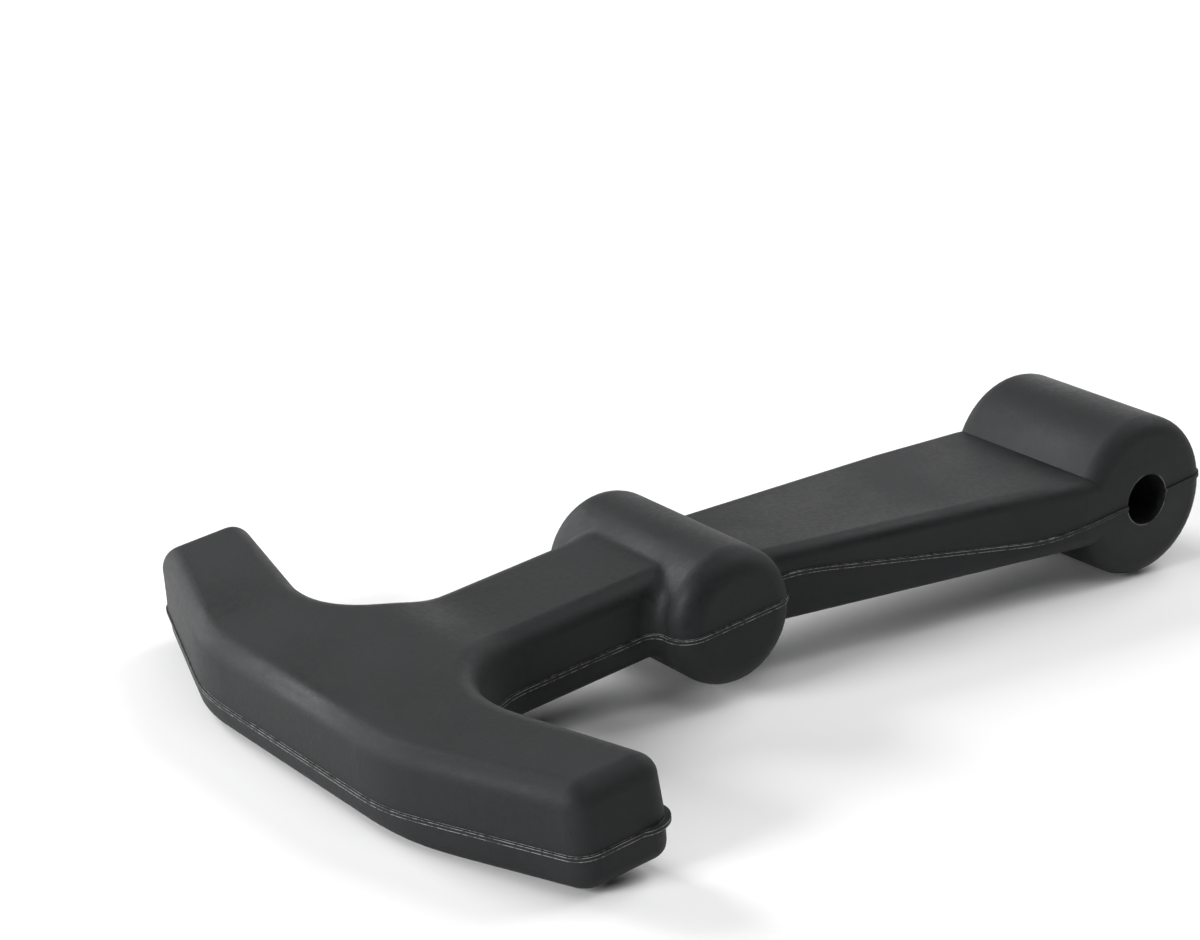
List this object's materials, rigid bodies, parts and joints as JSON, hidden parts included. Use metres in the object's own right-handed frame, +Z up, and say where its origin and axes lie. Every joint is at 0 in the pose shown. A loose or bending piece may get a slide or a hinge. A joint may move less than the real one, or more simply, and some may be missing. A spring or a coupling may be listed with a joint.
{
  "type": "rubber t draw latch",
  "caption": "One-piece rubber draw latch: a pivot boss with a pin bore, a strap that stretches, a cross barrel that seats in a keeper, and a swept T pull handle.",
  "frame": {"origin": "middle of the pivot bore, on its axis", "axes": "+X from the pivot boss along the level strap towards the T handle, +Y along the pivot bore, +Z up, the side that faces out when the latch is closed"},
  "size_m": [0.1269, 0.0852, 0.0207],
  "materials": {
    "black_rubber": "matte moulded black rubber with a soft sheen"
  },
  "bodies": {
    "root": {"latch_body": "black_rubber"}
  },
  "joints": []
}
